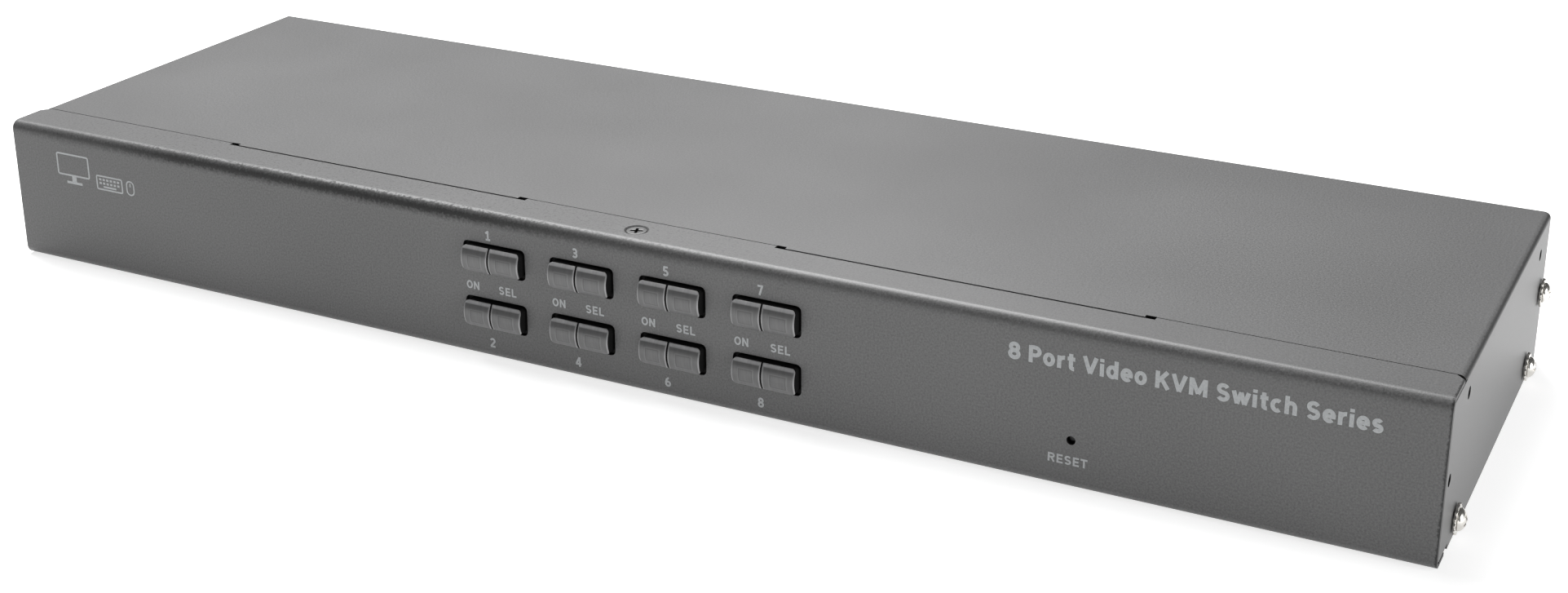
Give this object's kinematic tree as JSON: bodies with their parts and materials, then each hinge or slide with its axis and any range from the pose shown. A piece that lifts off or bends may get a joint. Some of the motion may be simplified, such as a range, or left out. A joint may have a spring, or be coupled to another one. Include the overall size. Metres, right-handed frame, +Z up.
{
  "type": "kvm switch",
  "caption": "Low, wide rack-width case with two rows of push buttons on the front, each split into an indicator half and a select half, and a row of cable sockets on the back.",
  "frame": {"origin": "centre of the case's bottom face, on the plane the case rests on", "axes": "+X to the right seen from the front, along the long side; +Y from the front panel to the rear sockets; +Z up"},
  "size_m": [0.4432, 0.1353, 0.044],
  "materials": {
    "powder_coat": "fine textured anthracite powder coat",
    "smoked_lens": "smoked, slightly clear, glossy",
    "nickel": "bright nickel plate",
    "circuit_board": "green solder mask",
    "black_plastic": "moulded black plastic",
    "aluminium": "plain extruded aluminium",
    "ribbon": "grey flat cable"
  },
  "bodies": {
    "chassis": {"base_tray": "powder_coat", "top_cover": "powder_coat", "rear_panel": "powder_coat", "screw_lug": "powder_coat", "flange_screw": "powder_coat", "side_screw_right_1": "nickel", "side_screw_right_2": "nickel", "side_screw_right_3": "nickel", "side_screw_left_1": "nickel", "side_screw_left_2": "nickel", "side_screw_left_3": "nickel", "tact_switch_1": "black_plastic", "tact_switch_2": "black_plastic", "tact_switch_3": "black_plastic", "tact_switch_4": "black_plastic", "tact_switch_5": "black_plastic", "tact_switch_6": "black_plastic", "tact_switch_7": "black_plastic", "tact_switch_8": "black_plastic", "reset_switch": "black_plastic", "front_board": "circuit_board", "main_board": "circuit_board", "front_standoff_1": "nickel", "front_standoff_2": "nickel", "front_standoff_3": "nickel", "main_standoff_1": "nickel", "main_standoff_2": "nickel", "main_standoff_3": "nickel", "main_standoff_4": "nickel", "heatsink": "aluminium", "ribbon_cable": "ribbon", "port_video_socket_1": "nickel", "port_video_socket_2": "nickel", "port_video_socket_3": "nickel", "port_video_socket_4": "nickel", "port_video_socket_5": "nickel", "port_video_socket_6": "nickel", "port_video_socket_7": "nickel", "port_video_socket_8": "nickel", "port_data_socket_1": "nickel", "port_data_socket_2": "nickel", "port_data_socket_3": "nickel", "port_data_socket_4": "nickel", "port_data_socket_5": "nickel", "port_data_socket_6": "nickel", "port_data_socket_7": "nickel", "port_data_socket_8": "nickel", "console_video_socket": "nickel", "console_data_socket": "nickel", "power_inlet": "black_plastic"},
    "button_1": {"port_button_1": "smoked_lens"},
    "button_2": {"port_button_2": "smoked_lens"},
    "button_3": {"port_button_3": "smoked_lens"},
    "button_4": {"port_button_4": "smoked_lens"},
    "button_5": {"port_button_5": "smoked_lens"},
    "button_6": {"port_button_6": "smoked_lens"},
    "button_7": {"port_button_7": "smoked_lens"},
    "button_8": {"port_button_8": "smoked_lens"},
    "reset": {"reset_plunger": "black_plastic"}
  },
  "joints": [
    {"name": "button_1_press", "type": "slide", "parent": "chassis", "child": "button_1", "axis": [0, 1, 0], "range_m": [0, 0.0008], "stiffness_N_per_m": 600, "springref_m": -0.0005},
    {"name": "button_2_press", "type": "slide", "parent": "chassis", "child": "button_2", "axis": [0, 1, 0], "range_m": [0, 0.0008], "stiffness_N_per_m": 600, "springref_m": -0.0005},
    {"name": "button_3_press", "type": "slide", "parent": "chassis", "child": "button_3", "axis": [0, 1, 0], "range_m": [0, 0.0008], "stiffness_N_per_m": 600, "springref_m": -0.0005},
    {"name": "button_4_press", "type": "slide", "parent": "chassis", "child": "button_4", "axis": [0, 1, 0], "range_m": [0, 0.0008], "stiffness_N_per_m": 600, "springref_m": -0.0005},
    {"name": "button_5_press", "type": "slide", "parent": "chassis", "child": "button_5", "axis": [0, 1, 0], "range_m": [0, 0.0008], "stiffness_N_per_m": 600, "springref_m": -0.0005},
    {"name": "button_6_press", "type": "slide", "parent": "chassis", "child": "button_6", "axis": [0, 1, 0], "range_m": [0, 0.0008], "stiffness_N_per_m": 600, "springref_m": -0.0005},
    {"name": "button_7_press", "type": "slide", "parent": "chassis", "child": "button_7", "axis": [0, 1, 0], "range_m": [0, 0.0008], "stiffness_N_per_m": 600, "springref_m": -0.0005},
    {"name": "button_8_press", "type": "slide", "parent": "chassis", "child": "button_8", "axis": [0, 1, 0], "range_m": [0, 0.0008], "stiffness_N_per_m": 600, "springref_m": -0.0005},
    {"name": "reset_press", "type": "slide", "parent": "chassis", "child": "reset", "axis": [0, 1, 0], "range_m": [0, 0.0004], "stiffness_N_per_m": 600, "springref_m": -0.0005}
  ]
}
